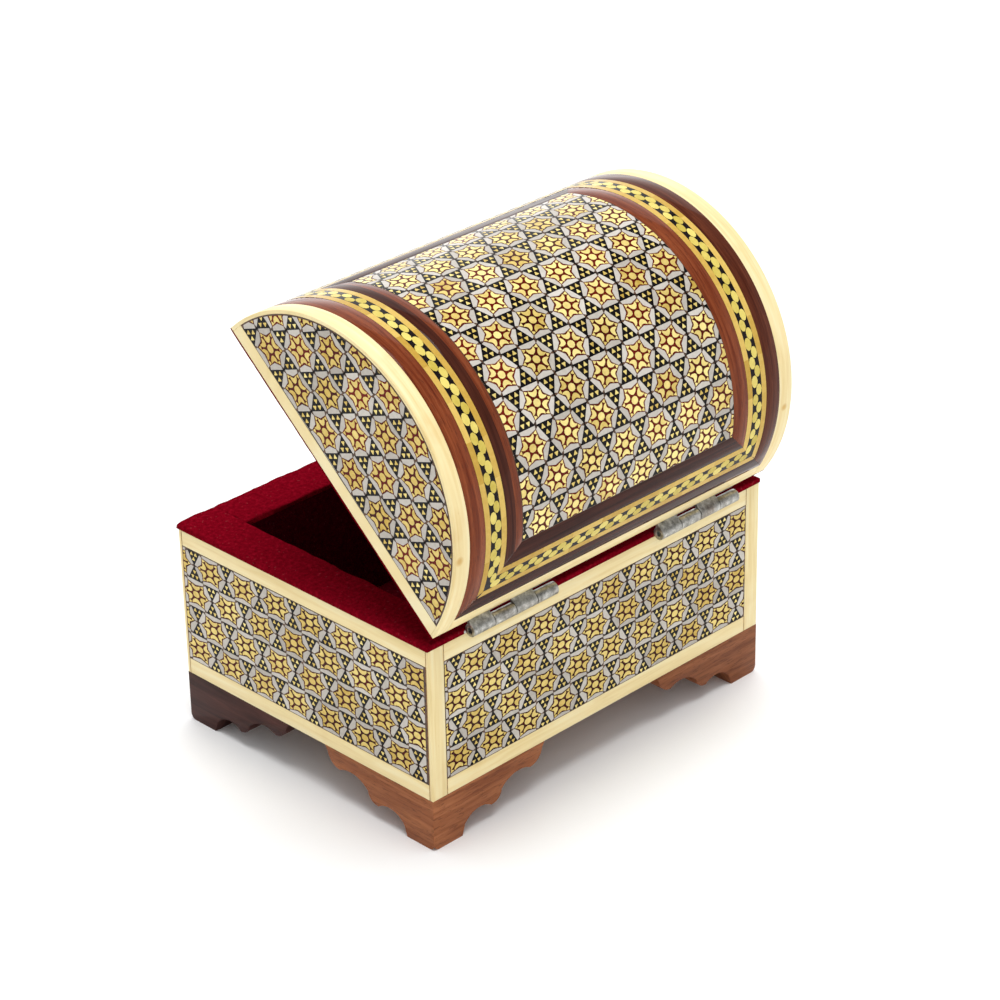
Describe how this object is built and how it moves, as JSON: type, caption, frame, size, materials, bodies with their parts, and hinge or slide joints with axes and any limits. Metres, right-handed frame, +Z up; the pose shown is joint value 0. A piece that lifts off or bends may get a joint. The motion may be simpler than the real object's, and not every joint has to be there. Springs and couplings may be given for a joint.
{
  "type": "inlaid wooden box",
  "caption": "Small domed chest veneered with star marquetry, bone strips and rosewood bands, on scalloped bracket feet, with a hinged lid over a velvet-lined cavity.",
  "frame": {"origin": "on the floor under the middle of the box, level with the soles of the feet", "axes": "+X along the hinges, -Y is the front, +Y the hinge side, +Z up; the lid is stored open by 41.5 degrees as in the picture"},
  "size_m": [0.105, 0.0895, 0.1168],
  "materials": {
    "carcase_wood": "plain",
    "khatam": "lacquered",
    "bone": "lacquered",
    "rosewood": "lacquered",
    "chain_border": "lacquered",
    "foot_wood": "lacquered",
    "velvet": "velvet",
    "hinge_metal": "dull"
  },
  "bodies": {
    "box": {"bone_bottom_back": "bone", "bone_bottom_front": "bone", "bone_bottom_left": "bone", "bone_bottom_right": "bone", "bone_corner_back_left": "bone", "bone_corner_back_right": "bone", "bone_corner_front_left": "bone", "bone_corner_front_right": "bone", "bone_top_back": "bone", "bone_top_front": "bone", "bone_top_left": "bone", "bone_top_right": "bone", "bottom_board": "carcase_wood", "foot_back_left": "foot_wood", "foot_back_right": "foot_wood", "foot_front_left": "foot_wood", "foot_front_right": "foot_wood", "hinge_brads_box": "hinge_metal", "hinge_leaf_box_left": "hinge_metal", "hinge_leaf_box_right": "hinge_metal", "hinge_pin_left": "hinge_metal", "hinge_pin_right": "hinge_metal", "khatam_back": "khatam", "khatam_front": "khatam", "khatam_left": "khatam", "khatam_right": "khatam", "rim_velvet_box": "velvet", "velvet_floor_lining": "velvet", "velvet_wall_lining": "velvet", "wall_back": "carcase_wood", "wall_front": "carcase_wood", "wall_left": "carcase_wood", "wall_right": "carcase_wood"},
    "lid": {"bone_arc_left": "bone", "bone_arc_right": "bone", "bone_base_left": "bone", "bone_base_right": "bone", "bone_edge_back": "bone", "bone_edge_front": "bone", "chain_border_arcs": "chain_border", "chain_border_strips": "chain_border", "hinge_brads_lid": "hinge_metal", "hinge_leaf_lid_left": "hinge_metal", "hinge_leaf_lid_right": "hinge_metal", "khatam_lid_left": "khatam", "khatam_lid_right": "khatam", "khatam_lid_top": "khatam", "lid_end_left": "carcase_wood", "lid_end_right": "carcase_wood", "lid_shell": "carcase_wood", "rim_velvet_lid": "velvet", "rosewood_inner_arcs": "rosewood", "rosewood_inner_strips": "rosewood", "rosewood_outer_back": "rosewood", "rosewood_outer_front": "rosewood", "rosewood_outer_left": "rosewood", "rosewood_outer_right": "rosewood", "velvet_lid_end_linings": "velvet", "velvet_lid_lining": "velvet"}
  },
  "joints": [
    {"name": "lid_hinge", "type": "hinge", "parent": "box", "child": "lid", "pos_m": [0, 0.04205, 0.0512], "axis": [-1, 0, 0], "range_deg": [-41.5, 138.5]}
  ]
}
